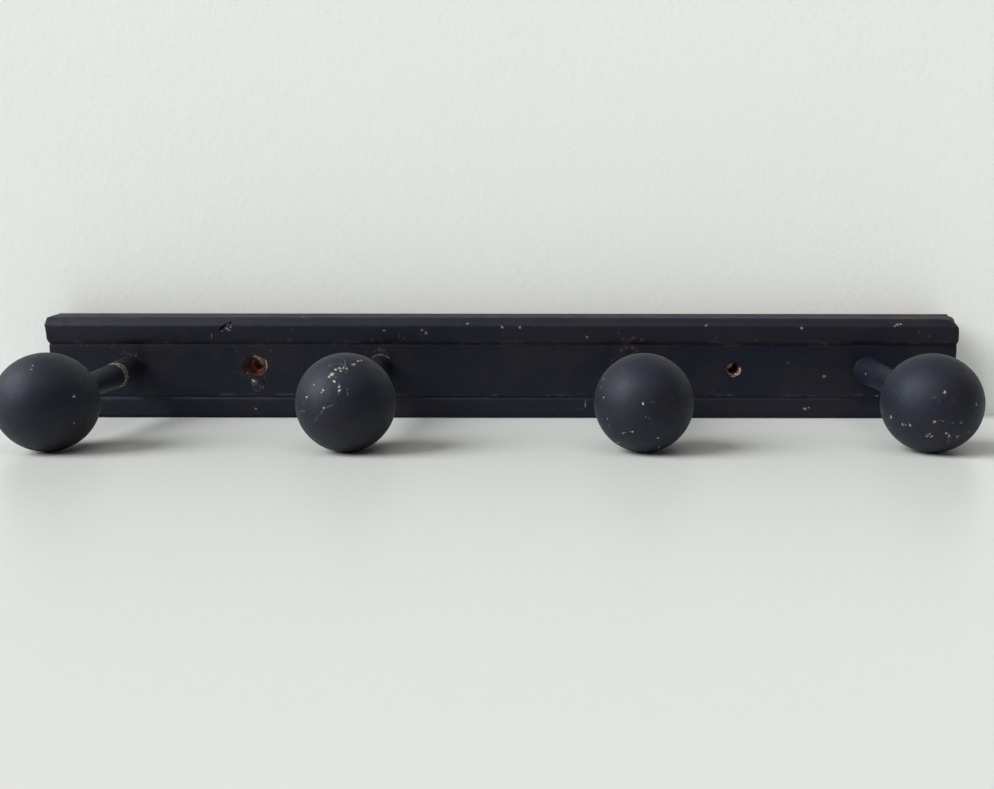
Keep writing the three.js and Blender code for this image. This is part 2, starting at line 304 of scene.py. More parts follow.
class PaintSettings(bpy.types.PropertyGroup):
    """Colours of the paint layers and the wood under them."""

    topcoat: colour_prop("Topcoat", "Blue-black topcoat", srgb(8, 12, 26))
    thin_coat: colour_prop("Thin coat", "Brownish black where the topcoat is thin", srgb(27, 20, 25))
    undercoat: colour_prop("Undercoat", "Cream undercoat", srgb(206, 198, 186))
    wood: colour_prop("Wood", "Pinkish bare wood", srgb(178, 124, 92))
    dark_wood: colour_prop("Dark wood", "Old brown wood inside the holes", srgb(60, 31, 22))
    # Painted far brighter than the wood round the hole, standing in for light reaching deep into it
    lit_bore_wood: colour_prop("Bore wood", "Reddish wood deep in the left hole", srgb(140, 78, 54))
    wedge_grain: colour_prop("Wedge grain", "Brown grain of the wedges", srgb(120, 78, 52))
    # Also used for the painted highlight on the upper right side of the left hole, besides the pale marks at the holes
    torn_and_lit_wood: colour_prop("Torn wood", "Pale wood torn out beside a hole", srgb(170, 144, 134))
    rubbed: colour_prop("Rubbed paint", "Pinkish grey of scuffed paint", srgb(132, 118, 116))
    gloss: share_prop("Specular level", "Strength of the board's sheen", 0.3)
    turned_gloss: share_prop("Turned specular level", "Strength of the pegs' sheen", 0.39)
    sheen: colour_prop("Sheen tint", "Cool tint of the sheen", (0.82, 0.87, 1.0))


class StageSettings(bpy.types.PropertyGroup):
    """Floor, wall, lamps and camera."""

    lean: angle_prop("Lean", "How far the rack leans forward on its balls", math.radians(4.45))
    wall_gap: length_prop("Wall gap", "Distance from the board to the wall", 0.002)
    floor: colour_prop("Floor colour", "Pale floor", srgb(222, 223, 218))
    wall: colour_prop("Wall colour", "Pale wall", srgb(240, 241, 237))
    window_light: FloatProperty(
        name="Window light", description="Strength of the soft light on the left", default=3.9, min=0
    )
    window_width: angle_prop("Window width", "Angle that the window covers", math.radians(40))
    ceiling_power: FloatProperty(
        name="Ceiling power", description="Lamp above", default=11, subtype="POWER", unit="POWER"
    )
    room_light: FloatProperty(name="Room light", description="Light from all round", default=0.12, min=0)
    lens: FloatProperty(name="Lens", description="Focal length", default=38.79, unit="CAMERA")
    shift: FloatProperty(name="Shift", description="Sideways shift of the view", default=-0.04604)
    camera_place: FloatVectorProperty(
        name="Camera place", description="Where the camera stands", size=3,
        default=(0.02439, -0.65953, 0.1194), subtype="TRANSLATION", unit="LENGTH",
    )
    camera_tilt: angle_prop("Camera tilt", "How far the camera looks down", 0.20706)
    camera_roll: angle_prop("Camera roll", "Roll of the camera", 0.00105)


class Tone:
    """A value on its way through a material. It adds, subtracts and multiplies as a number does."""

    def __init__(self, finish, socket):
        self.finish = finish
        self.socket = socket

    def math(self, operation, first, second, clamp=False):
        return self.finish.node("ShaderNodeMath", {0: first, 1: second}, operation=operation, use_clamp=clamp)

    def __add__(self, other):
        return self.math("ADD", self, other)

    def __radd__(self, other):
        return self.math("ADD", other, self)

    def __sub__(self, other):
        return self.math("SUBTRACT", self, other)

    def __rsub__(self, other):
        return self.math("SUBTRACT", other, self)

    def __mul__(self, other):
        return self.math("MULTIPLY", self, other)

    def __rmul__(self, other):
        return self.math("MULTIPLY", other, self)

    def most(self, other):
        return self.math("MAXIMUM", self, other)

    def above(self, start, width):
        """0 up to start, then smoothly up to 1 over width."""
        sockets = {"Value": self, "From Min": start, "From Max": start + width}
        return self.finish.node("ShaderNodeMapRange", sockets, interpolation_type="SMOOTHSTEP")

    def below(self, end, width):
        """1 up to end - width, then smoothly down to 0 at end."""
        return 1 - self.above(end - width, width)


class Finish:
    """One material as it is mixed: its nodes, added by one method, and the patterns that several pieces share."""

    def __init__(self, name):
        self.material = bpy.data.materials.new(name)
        self.material.use_nodes = True
        self.tree = self.material.node_tree
        self.shader = self.tree.nodes["Principled BSDF"]
        self.at = self.vector("SCALE", self.node("ShaderNodeTexCoord", out="Object"), 1 / MM)

    def node(self, kind, sockets=None, out=0, **settings):
        """Adds a node, sets it up, fills its sockets with values or links, and returns one of its outputs."""
        node = self.tree.nodes.new(kind)
        for setting, value in settings.items():
            setattr(node, setting, value)
        for socket, value in (sockets or {}).items():
            self.feed(node.inputs[socket], value)
        return Tone(self, node.outputs[out])

    def feed(self, socket, value):
        if isinstance(value, Tone):
            self.tree.links.new(value.socket, socket)
        elif socket.type == "RGBA":
            socket.default_value = (*value[:3], 1)
        else:
            socket.default_value = value

    def paint(self, **sockets):
        """Feeds the shader, whose sockets are named with _ for a space."""
        for name, value in sockets.items():
            self.feed(self.shader.inputs[name.replace("_", " ")], value)

    def blend(self, mask, under, over):
        """Colour under where the mask is 0 and over where it is 1."""
        sockets = {0: mask, 6: under, 7: over}
        return self.node("ShaderNodeMix", sockets, out=2, data_type="RGBA", clamp_factor=True)

    def vector(self, operation, first, second, out=0):
        """Maths on two places, or on a place and a number for SCALE."""
        sockets = {0: first, "Scale" if operation == "SCALE" else 1: second}
        return self.node("ShaderNodeVectorMath", sockets, out=out, operation=operation)

    def stretch(self, factors, at=None):
        return self.vector("MULTIPLY", at or self.at, factors)

    def away(self, at, point):
        return self.vector("DISTANCE", at, point, out="Value")

    def along(self, at, direction):
        """How far a place lies in a direction."""
        return self.vector("DOT_PRODUCT", at, direction, out="Value")

    def part(self, axis, at=None):
        return self.node("ShaderNodeSeparateXYZ", {0: at or self.at}, out=axis)

    def cloud(self, size, detail=2.0, rough=0.5, at=None, out=0):
        """Soft noise from 0 to 1 whose blotches are about size millimetres across."""
        sockets = {"Vector": at or self.at, "Scale": 1 / size, "Detail": detail, "Roughness": rough}
        return self.node("ShaderNodeTexNoise", sockets, out=out)

    def jog(self, size, reach):
        """The place pushed about by up to reach, which makes the edge of a spot ragged."""
        push = self.vector("SUBTRACT", self.cloud(size, 3.0, 0.6, out="Color"), (0.5, 0.5, 0.5))
        return self.vector("ADD", self.at, self.vector("SCALE", push, 2 * reach))

    def in_spots(self, spots, at=None):
        """How far inside the nearest of the listed spots a place is, in millimetres."""
        return reduce(Tone.most, (radius - self.away(at or self.at, (x, y, z)) for x, y, z, radius in spots))

    def in_scratch(self, half, start, end):
        """How far inside a straight scratch a place is, in millimetres."""
        run = Vector(end) - Vector(start)
        offset = self.vector("SUBTRACT", self.at, start)
        share = self.along(offset, run / run.length_squared)
        held = share.math("MULTIPLY", share, 1.0, clamp=True)
        return half - self.away(offset, self.vector("SCALE", run, held))

    def specks(self, cell, share, radius):
        """Tiny spots of differing size, in about that share of cells of that size."""
        sockets = {"Vector": self.at, "Scale": 1 / cell}
        middle = self.node("ShaderNodeTexVoronoi", sockets, out="Distance")
        pick = self.node("ShaderNodeSeparateColor", {0: self.node("ShaderNodeTexVoronoi", sockets, out="Color")})
        return (pick.above(1 - share, share) * radius - middle * cell).above(0, 0.1)

    def relief(self, height):
        """A normal from a height in millimetres."""
        return self.node("ShaderNodeBump", {"Strength": 1.0, "Distance": MM, "Height": height})


def peg_axis(peg):
    return Vector((0, -math.cos(peg.rise), math.sin(peg.rise)))


def field_depth(rack):
    return BOARD_HIGH.y - BOARD_LOW.y - rack.board.field_setback


def grain_of(finish, along, across):
    """Streaks of grain from 0 to 1: along is a vector that squeezes the pattern in the grain's direction."""
    streaks = finish.cloud(across, 4.0, 0.6, finish.stretch(along))
    rings = finish.cloud(across * 5, 2.0, 0.5, finish.stretch(along))
    return streaks * 0.65 + rings * 0.35


def dry_wood(finish, paint, along):
    """Bare wood with its grain running along the axis that is squeezed."""
    return finish.blend(grain_of(finish, along, 0.9).above(0.35, 0.3) * 0.6, paint.wood, paint.dark_wood)


def brush_marks(finish, width, along, height):
    """Fine ridges of brushed paint in millimetres, drawn out along the axis that is squeezed."""
    return finish.cloud(width, 3.0, 0.6, finish.stretch(along)) * height


def worn_black(finish, paint, wear, wood, bare, thin, rubbed, strokes, cream=0.0):
    """Black topcoat over a pale undercoat over wood.

    wood is the colour of the wood and bare is where it shows, thin where the topcoat lets brown through, rubbed
    where it is scuffed and, on the plug's rim, where a highlight is painted, cream where the undercoat shows, and
    strokes the brush marks' height in millimetres.
    """
    bite = finish.cloud(1.0, 4.0, 0.75) - 0.5
    worn = finish.cloud(1.9, 3.0, 0.7)
    drift = finish.cloud(30, 3.0, 0.6)
    flecks = (finish.in_spots(wear.flecks) + bite * 4.5).above(-0.05, 0.5) * (worn.above(0.3, 0.35) * 0.5 + 0.5)
    flecks = flecks.most(cream)
    scuffs = (finish.in_spots(wear.scuffs) + bite * 6.0).above(-0.2, 1.2) * worn.above(0.35, 0.25)

    coat = finish.blend(drift.above(0.42, 0.26) * 0.7, paint.topcoat, paint.thin_coat)
    coat = finish.blend(thin, coat, paint.thin_coat)
    coat = finish.blend(rubbed.most(scuffs * wear.rub), coat, paint.rubbed)
    coat = finish.blend(finish.specks(8.0, 0.12, 0.26) * 0.35, coat, paint.undercoat)
    if wear.scratches:
        lines = reduce(Tone.most, (
            finish.in_scratch(half, *ends) for half, *points in wear.scratches for ends in zip(points, points[1:])
        ))
        faint = (lines + bite * 2.0).above(-0.05, 0.3) * worn.above(0.38, 0.2) * 0.22
        coat = finish.blend(faint, coat, paint.undercoat)
    colour = finish.blend(flecks * wear.pale, coat, paint.undercoat)
    colour = finish.blend(bare, colour, wood)

    chipped = flecks.most(bare)
    height = finish.cloud(6.5, 2.0, 0.55) * 0.2 + strokes + finish.cloud(0.7, 2.0, 0.6) * 0.02 - chipped * 0.1
    rough = finish.cloud(9, 3.0, 0.6) * 0.24 + 0.47 + chipped * 0.2 + rubbed * 0.12
    finish.paint(Base_Color=colour, Roughness=rough, Normal=finish.relief(height))
    finish.paint(Specular_IOR_Level=paint.gloss, Specular_Tint=paint.sheen)


# Where the board is scuffed along its length, as (y, z, reach, strength)
BOARD_RUBS = (
    (-20.6, 16.8, 2.8, 0.16), (-20, -15.2, 1.4, 0.12), (-22, 27.6, 0.5, 0.08), (-17.8, 32, 0.8, 0.1),
    (-20.5, -23.8, 0.7, 0.08),
)
# Where brown shows through the topcoat, round the roots of the pegs and the left hole, as (x, y, z, radius)
BOARD_STAINS = (
    (-80, -20, 13, 4.5), (-72, -20, 13.5, 4), (-86, -20, 16, 3), (70, -20, 14, 4), (78, -20, 13, 4.5),
    (-152.5, -20, -5, 4), (-158.5, -20, 6, 3), (-143, -20, 4, 3), (-158, -20, -2.5, 3), (-226, -20, 12, 4.5),
    (-150, -20, 11, 2.5),
)
# Middles of the holes' worn rims from the holes' own, and the way towards the left hole's upper right side, which is
# painted pale as a lit side, all in millimetres
LEFT_TEAR = Vector((-0.5, 0, -0.4))
RIGHT_CHIP = Vector((0.6, 0, -0.4))
LIT_WAY = Vector((0.62, 0, 0.78))
# Nicks knocked out of the upper moulding, as (place, size, seed), and where they bare the wood, in millimetres
NICKS = (((-166.8, -22, 27.2), (4.2, 1.6, 1.1), 7), ((-163.4, -20.8, 29.3), (1.6, 1.2, 0.9), 19))
NICKED = (-166.8, -20.6, 26.4)


def board_paint(rack):
    finish = Finish("worn_board_paint")
    paint = rack.paint
    field = field_depth(rack) / MM
    ragged = finish.jog(1.6, 0.7)
    flat = finish.stretch((1, 0, 1), ragged)
    height = finish.part("Z", ragged)
    depth = finish.part("Y", ragged)
    left, right = (Vector((x, 0, z)) / MM for x, z in (rack.holes.left_place, rack.holes.right_place))
    from_left = finish.away(flat, left + LEFT_TEAR)
    from_right = finish.away(flat, right + RIGHT_CHIP)

    # Bare wood on the back, in the worn rims of both holes and in the nick
    sunk = depth.above(0.25 - field, 0.25) * from_left.below(10.5, 0.6).most(from_right.below(6.4, 0.5))
    nicked = finish.away(ragged, NICKED).below(2.0, 0.5)
    bare = depth.above(-0.3, 0.2).most(sunk).most(nicked * 0.5)

    # Inside the holes: dark wood, painted lighter and reddish deep in the left one to stand in for light reaching in,
    # the left one's upper right side painted pale as a lit side, pale marks on its lower rim and thread marks in the
    # right one
    # The upper right side of the left hole is painted pale, a painted highlight where light falls on it
    lit_side = (finish.along(flat, LIT_WAY) - LIT_WAY.dot(left)).above(1.2, 2.4) * from_left.below(9, 2)
    rim = from_left.above(6.0, 0.6) * from_left.below(8.8, 0.8) * height.below(left.z - 4.0, 1.0)
    threads = from_right.above(2.9, 0.5) * height.below(right.z + 1.0, 1.2) * finish.cloud(1.1).above(0.42, 0.12)
    pale = lit_side.most(rim * 0.8).most(threads * from_right.below(7, 1)) * finish.cloud(2.2, 3.0, 0.6).above(0.32, 0.3)
    # Deep in the left hole the colour is painted brighter, in place of light that reaches in
    inside = finish.blend(from_left.below(4.6, 1.2), paint.dark_wood, paint.lit_bore_wood)
    inside = finish.blend(pale, inside, paint.torn_and_lit_wood)
    wood = finish.blend(depth.below(-1.0, 0.5), dry_wood(finish, paint, (0.08, 1, 1)), inside)

    # Scuffed arrises and ends, and brown where the coat is thin on the mouldings and in the stains
    section = finish.stretch((0, 1, 1))
    rubs = reduce(Tone.most, (
        finish.away(section, (0, y, z)).below(reach, reach * 0.7) * strength for y, z, reach, strength in BOARD_RUBS
    ))
    dabs = finish.cloud(6, 5.0, 0.75, finish.stretch((0.6, 1, 1))).above(0.5, 0.16)
    across = finish.part("X")
    ends = across.math("ABSOLUTE", across, 0.0).above(BOARD_HIGH.x / MM - 0.7, 0.3)
    rubbed = (rubs * dabs).most(ends * finish.cloud(2.5, 4.0, 0.7).above(0.5, 0.2) * 0.12)
    proud = depth.below(-field - 0.2, 0.4) * finish.cloud(60, 2.0, 0.5, finish.stretch((0.5, 1, 1))).above(0.4, 0.2)
    thin = (finish.in_spots(BOARD_STAINS, finish.jog(5, 3.0)).above(-1.5, 3.0) * 0.8).most(proud * 0.6)
    strokes = brush_marks(finish, 1.4, (0.05, 1, 1), 0.07)
    worn_black(finish, paint, BOARD_WEAR, wood, bare, thin, rubbed, strokes)
    return finish.material


def peg_paint(rack, index):
    finish = Finish("worn_peg_paint_%d" % (index + 1))
    paint = rack.paint
    axis = peg_axis(rack.peg)
    field = axis.dot(Vector((PEG_XS[index], -field_depth(rack), 0)) / MM)
    out = finish.along(finish.jog(1.2, 0.9), axis) - field
    bare = out.below(0.0, 0.6)
    if index == 0:
        # Two broken strands of undercoat run round this shaft, which is brown from there to its root
        band = finish.along(finish.jog(3.0, 2.0), axis) - field
        strands = (band.above(21.2, 0.4) * band.below(23.4, 0.5)).most(band.above(24.0, 0.4) * band.below(27.0, 0.8))
        cream = strands * finish.cloud(0.9, 4.0, 0.8).above(0.45, 0.1) * 0.85
        thin = out.below(24.5, 2.0) * 0.95
    else:
        cream = 0.0
        thin = out.below(7, 5.0) * 0.4
    rubbed = finish.cloud(3.5, 4.0, 0.7).above(0.5, 0.3) * 0.03
    strokes = finish.cloud(1.8, 4.0, 0.7) * 0.14
    wood = dry_wood(finish, paint, (1, 0.08, 1))
    worn_black(finish, paint, PEG_WEAR[index], wood, bare, thin, rubbed, strokes, cream)
    finish.paint(Specular_IOR_Level=paint.turned_gloss)
    return finish.material


def plug_paint(rack):
    finish = Finish("worn_plug_paint")
    paint = rack.paint
    ragged = finish.jog(1.2, 0.5)
    field = field_depth(rack) / MM
    middle = (PLUG_LOW + PLUG_HIGH) / 2 / MM
    rim = finish.away(finish.stretch((1, 0, 1), ragged), (middle.x, 0, middle.z)).above(3.7, 0.5)
    low = (finish.part("X", ragged) * 0.5 - finish.part("Z", ragged)).above(0.5 * middle.x - middle.z, 2.0)
    bare = finish.part("Y", ragged).above(0.8 - field, 0.4)
    # The lower right of the rim gets patchy rubbed paint, painted paler there as a highlight where light catches the
    # sunk rim
    rubbed = rim * low * finish.cloud(2.0).above(0.38, 0.2) * 0.6
    wear = Wear(
        flecks=((middle.x - 2.2, -field, middle.z + 2.0, 0.95), (middle.x - 3.0, -field, middle.z + 3.0, 0.5)),
        scuffs=((middle.x - 1.5, -field, middle.z + 1.0, 2.2), (middle.x + 2.2, -field, middle.z - 1.2, 1.4)),
        rub=0.25,
    )
    thin = finish.cloud(4).above(0.3, 0.3) * 0.8
    strokes = brush_marks(finish, 1.4, (0.1, 1, 1), 0.06)
    worn_black(finish, paint, wear, dry_wood(finish, paint, (0.08, 1, 1)), bare, thin, rubbed, strokes)
    return finish.material


def wedge_wood(rack):
    finish = Finish("dry_wedge_wood")
    paint = rack.paint
    grain = grain_of(finish, (1, 0.08, 1), 0.6)
    colour = finish.blend(grain.above(0.32, 0.35), paint.wood, paint.wedge_grain)
    dirt = finish.cloud(3.5, 3.0, 0.6).above(0.55, 0.2)
    colour = finish.blend(dirt * 0.5, colour, paint.dark_wood)
    finish.paint(Base_Color=colour, Roughness=0.62 + grain * 0.2, Normal=finish.relief(grain * 0.12))
    return finish.material


def lump(point, size, seed):
    """Smooth noise from -1 to 1 at a place in metres, the same in every run."""
    return noise.noise(Vector(point) / size + Vector((seed, seed * 0.37, -seed)))


def easing_of(vertex):
    """How strongly the mesh bends outwards at a vertex, from 0 on a flat to 1 on an arris."""
    full_bend = 0.25
    angles = [edge.calc_face_angle_signed(0.0) for edge in vertex.link_edges]
    return min(max(max(angles, default=0.0), 0.0) / full_bend, 1.0)


def ease(bm, geom, offset, segments, affect="EDGES"):
    """Rounds edges or the corners of a section."""
    bmesh.ops.bevel(
        bm, geom=geom, offset=offset, offset_type="OFFSET", segments=segments, profile=0.5, affect=affect, material=-1
    )


def turn_to(axis):
    """The turn that takes the z axis to another."""
    return Vector((0, 0, 1)).rotation_difference(axis).to_matrix().to_4x4()


def loose(name, bm):
    """A passing object from a mesh in the making."""
    mesh = bpy.data.meshes.new(name)
    bm.to_mesh(mesh)
    bm.free()
    thing = bpy.data.objects.new(name, mesh)
    bpy.context.collection.objects.link(thing)
    return thing


def cut(bm, tools, operation="DIFFERENCE"):
    """The blank with every tool taken out of it, or with only what lies inside the tool kept."""
    blank = loose("blank", bm)
    cutters = [loose("tool", tool) for tool in tools]
    for cutter in cutters:
        bite = blank.modifiers.new("bite", "BOOLEAN")
        bite.operation = operation
        bite.solver = "EXACT"
        bite.object = cutter
    result = bmesh.new()
    result.from_object(blank, bpy.context.evaluated_depsgraph_get())
    for thing in (blank, *cutters):
        mesh = thing.data
        bpy.data.objects.remove(thing)
        bpy.data.meshes.remove(mesh)
    if not result.faces:
        raise RuntimeError("a cut left nothing of the blank")
    return result


def finish_piece(name, bm, material, slot, *nodes, sharp=32.0):
    """Makes a piece of its mesh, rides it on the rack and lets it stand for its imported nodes."""
    bmesh.ops.remove_doubles(bm, verts=bm.verts, dist=2e-6)
    bmesh.ops.dissolve_degenerate(bm, edges=bm.edges, dist=1e-6)
    bmesh.ops.recalc_face_normals(bm, faces=bm.faces)
    piece = loose(name, bm)
    piece.data.shade_smooth()
    piece.data.set_sharp_from_angle(angle=math.radians(sharp))
    piece.data.materials.append(material)
    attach(piece, "root")
    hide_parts(*nodes)


def moulding(board, side, edge):
    """Corners of one moulding from the field's edge outwards, as (depth from the back, distance, easing)."""
    depth = BOARD_HIGH.y - BOARD_LOW.y
    floor = edge + board.groove_height
    start = floor + side.cove
    end = start + side.front
    return [
        (depth - board.field_setback, edge, side.field_arris),
        (depth - board.field_setback - board.groove_depth, floor, board.groove_round),
        (depth - side.setback, start, side.easing),
        (depth - side.setback, end, board.bevel_arris),
        (board.outer_depth, end + side.bevel, board.bevel_arris),
        (0, end + side.bevel, 0),
    ]


def board_section(bm, board):
    """The board's section as one face, its corners eased and its long sides divided."""
    widest = 3.2 * MM
    upper = moulding(board, board.upper, board.field_height / 2 - board.field_drop)
    lower = moulding(board, board.lower, board.field_height / 2 + board.field_drop)
    corners = [(depth, -height, easing) for depth, height, easing in lower] + upper[::-1]
    marks = [bm.verts.new((0, -depth, height)) for depth, height, _ in corners]
    bm.faces.new(marks)
    for mark, (_, _, easing) in zip(marks, corners):
        if easing > 0:
            ease(bm, [mark], easing, 5, "VERTICES")
    for edge in list(bm.edges):
        cuts = int(edge.calc_length() / widest)
        if cuts:
            bmesh.ops.subdivide_edges(bm, edges=[edge], cuts=cuts)


def wear_board(bm, board):
    """Puts the planed faces out of true and wears the arrises, the ends and the upper right corner."""
    flat_back = -0.4 * MM
    corner_at, corner_reach = Vector((BOARD_HIGH.x, -board.outer_depth, BOARD_HIGH.z)), 11 * MM
    corner_push = Vector((-1.7, 0.5, -1.8)) * MM
    crisp_end, crisp_above = 0.9 * MM, 27 * MM
    skew_reach, skew_most = 20 * MM, 0.3 * MM
    taper = 0.018
    bm.normal_update()
    for vertex, normal, arris in [(v, v.normal.copy(), easing_of(v)) for v in bm.verts]:
        if vertex.co.y > flat_back:
            continue
        sway = 0.5 + 0.5 * lump((vertex.co.x * 0.35, vertex.co.y, vertex.co.z), 14 * MM, 3)
        rub = max(0.0, lump(vertex.co, 7 * MM, 11) + 0.15) * arris
        vertex.co -= normal * board.unevenness * (sway * 0.6 + rub * 1.6)
        vertex.co += corner_push * max(0.0, 1 - (vertex.co - corner_at).length / corner_reach) ** 2
        end = vertex.co.x - BOARD_LOW.x
        if end < crisp_end and vertex.co.z > crisp_above:
            vertex.co.x -= end * 0.8
        elif end < skew_reach:
            vertex.co.x += min(0.03 * (BOARD_HIGH.z - vertex.co.z), skew_most) * (1 - end / skew_reach)
        side = vertex.co.x / BOARD_HIGH.x * (1 if vertex.co.z > 0 else -1.4)
        vertex.co.z *= 1 - taper * max(0.0, side) ** 2


def board_blank(board):
    """The moulded length with eased ends, worn but not yet bored."""
    bm = bmesh.new()
    board_section(bm, board)
    bmesh.ops.translate(bm, verts=bm.verts, vec=(BOARD_LOW.x + board.end_arris, 0, 0))
    run = list(bm.verts) + list(bm.edges) + list(bm.faces)
    end_run, close, wide = 12 * MM, 0.8 * MM, 2.4 * MM
    middle_run = BOARD_HIGH.x - BOARD_LOW.x - 2 * (board.end_arris + end_run)
    for distance, step in ((end_run, close), (middle_run, wide), (end_run, close)):
        steps = round(distance / step)
        swept = bmesh.ops.spin(
            bm, geom=run, cent=(0, 0, 0), axis=(1, 0, 0), dvec=(distance / steps, 0, 0), angle=0, steps=steps,
            use_duplicate=False, use_merge=False,
        )
        run = swept["geom_last"]
    bmesh.ops.recalc_face_normals(bm, faces=bm.faces)
    ends = [face for face in bm.faces if len(face.verts) > 4]
    if len(ends) != 2:
        raise RuntimeError("the swept board has %d ends" % len(ends))
    for end in ends:
        for inwards, outwards in ((1 / 3, 0.6), (2 / 3, 0.4)):
            bmesh.ops.inset_region(
                bm, faces=[end], thickness=board.end_arris * inwards, depth=board.end_arris * outwards,
                use_even_offset=True,
            )
    wear_board(bm, board)
    return bm


def round_bar(front, depth, radius, sides, axis=Vector((0, 1, 0)), back_radius=None):
    """A round bar that runs from the middle of its front end back along an axis."""
    bm = bmesh.new()
    place = Matrix.Translation(Vector(front) + axis * depth / 2) @ turn_to(axis)
    bmesh.ops.create_cone(
        bm, cap_ends=True, segments=sides, radius1=radius, radius2=back_radius or radius, depth=depth, matrix=place
    )
    return bm


def torn_pit(front, depth, radius, back_radius, tear, seed, squash=1.0):
    """A ragged countersink: a cone whose sides are torn in and out by noise."""
    bm = round_bar(front, depth, radius, 44, back_radius=back_radius)
    sides = [edge for edge in bm.edges if abs((edge.verts[0].co - edge.verts[1].co).y) > depth / 2]
    bmesh.ops.subdivide_edges(bm, edges=sides, cuts=7, use_grid_fill=True)
    coarse, fine = 3.2 * MM, 1.3 * MM
    for vertex in bm.verts:
        out = Vector((vertex.co.x - front.x, 0, vertex.co.z - front.z))
        push = tear * (lump(vertex.co, coarse, seed) + 0.5 * lump(vertex.co, fine, seed + 5))
        vertex.co += out.normalized() * push
        vertex.co.z = front.z + (vertex.co.z - front.z) * squash
    return bm


def nick_tool(place, size, seed):
    """A lumpy pebble that knocks a nick out of an arris."""
    bm = bmesh.new()
    bmesh.ops.create_icosphere(bm, subdivisions=3, radius=1)
    for vertex in bm.verts:
        vertex.co *= 1 + 0.45 * lump(vertex.co, 0.6, seed)
    turn = Matrix.Rotation(math.radians(-35), 4, "Y")
    shape = Matrix.Translation(Vector(place) * MM) @ turn @ Matrix.Diagonal((*(Vector(size) * MM), 1))
    bmesh.ops.transform(bm, matrix=shape, verts=bm.verts)
    return bm


def board_tools(rack):
    """What is bored, sunk and knocked out of the board."""
    peg, holes = rack.peg, rack.holes
    field = -field_depth(rack)
    inwards = -peg_axis(peg)
    past = Vector((0, 2 * MM, 0))
    bore = peg.tenon_diameter / 2 + peg.gap
    bore_run, shank_run = 24 * MM, 30 * MM
    bores = [round_bar(Vector((x, field, 0)) - inwards * 3 * MM, bore_run, bore, 48, inwards) for x in PEG_XS]
    left, right = (Vector((x, field, z)) for x, z in (holes.left_place, holes.right_place))
    shanks = [round_bar(place - past, shank_run, holes.shank / 2, 32) for place in (left, right)]
    sinks = [
        torn_pit(
            left + (LEFT_TEAR - Vector((0, 1.2, 0))) * MM, depth=9 * MM, radius=holes.left_sink / 2 + 3.1 * MM,
            back_radius=2.6 * MM, tear=1.7 * MM, seed=23, squash=0.8,
        ),
        torn_pit(
            right + (RIGHT_CHIP - Vector((0, 1, 0))) * MM, depth=4 * MM, radius=holes.right_sink / 2 + 0.4 * MM,
            back_radius=2.9 * MM, tear=0.5 * MM, seed=41,
        ),
    ]
    middle = (PLUG_LOW + PLUG_HIGH) / 2
    front = Vector((middle.x, field, middle.z)) - past
    pocket = round_bar(front, PLUG_HIGH.y + peg.gap - front.y, (PLUG_HIGH.x - PLUG_LOW.x + peg.gap) / 2, 40)
    return [*bores, *shanks, *sinks, pocket, *(nick_tool(*nick) for nick in NICKS)]


def peg_place(rack, index):
    """Turns a peg drawn along z, from the board outwards, to its place on the field."""
    return Matrix.Translation((PEG_XS[index], -field_depth(rack), 0)) @ turn_to(peg_axis(rack.peg))


def tenon_length(rack):
    """How far the tenon goes in from the field, so that its tilted end stays 0.3 mm inside the back."""
    peg = rack.peg
    return field_depth(rack) / math.cos(peg.rise) - 0.3 * MM - peg.tenon_diameter / 2 * math.tan(peg.rise)


# How far off the field the shoulder stands, so that its rim clears the field at the peg's tilt
SEAT = 0.36 * MM


def hollow_rise(peg):
    """How far behind the ball's centre the hollow's own centre lies."""
    reach = peg.ball_diameter / 2 + peg.neck_fillet
    return math.sqrt(reach ** 2 - (peg.neck_diameter / 2 + peg.neck_fillet) ** 2)


def peg_outline(rack):
    """Half the outline of tenon, shoulder and shaft up to the hollow behind the ball, as (radius, height)."""
    peg = rack.peg
    neck, root, waist, tenon = (
        size / 2 for size in (peg.neck_diameter, peg.root_diameter, peg.waist_diameter, peg.tenon_diameter)
    )
    chamfer, shoulder_arris = 0.6 * MM, 0.3 * MM
    deep = -tenon_length(rack)
    top = peg.stand_off - hollow_rise(peg)
    outline = [(0, deep), (tenon - chamfer, deep), (tenon, deep + chamfer), (tenon, SEAT), (root + 0.1 * MM, SEAT)]
    steps = 14
    for step in range(steps + 1):
        t = step / steps
        first, second, third = (1 - t) ** 2, 2 * t * (1 - t), t * t
        outline.append((
            first * root + second * waist + third * neck,
            first * (SEAT + shoulder_arris) + second * peg.waist_stand_off + third * top,
        ))
    return outline


